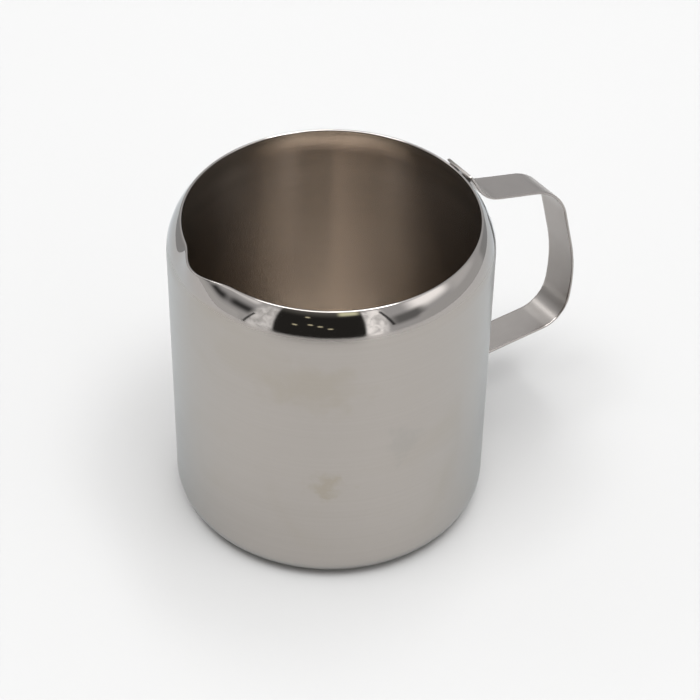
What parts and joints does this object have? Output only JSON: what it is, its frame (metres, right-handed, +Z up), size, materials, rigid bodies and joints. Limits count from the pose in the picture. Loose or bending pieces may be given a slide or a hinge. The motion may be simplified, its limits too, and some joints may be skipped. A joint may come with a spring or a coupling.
{
  "type": "milk jug",
  "caption": "Small straight-sided open steel jug with a rolled-in shoulder, a pressed pouring lip and a bent strap handle.",
  "frame": {"origin": "centre of the flat base, on the shell's axis", "axes": "+Z up along the shell's axis, +X towards the handle, pouring lip along -X"},
  "size_m": [0.1067, 0.074, 0.078],
  "materials": {
    "shell_steel": "satin outside and polished shoulder, brushed round the inside",
    "strap_steel": "satin, brushed along the strap",
    "weld_steel": "dull fused steel"
  },
  "bodies": {
    "root": {"jug_body": "shell_steel", "handle_strap": "strap_steel", "upper_weld_left": "weld_steel", "upper_weld_right": "weld_steel", "lower_weld_left": "weld_steel", "lower_weld_right": "weld_steel"}
  },
  "joints": []
}
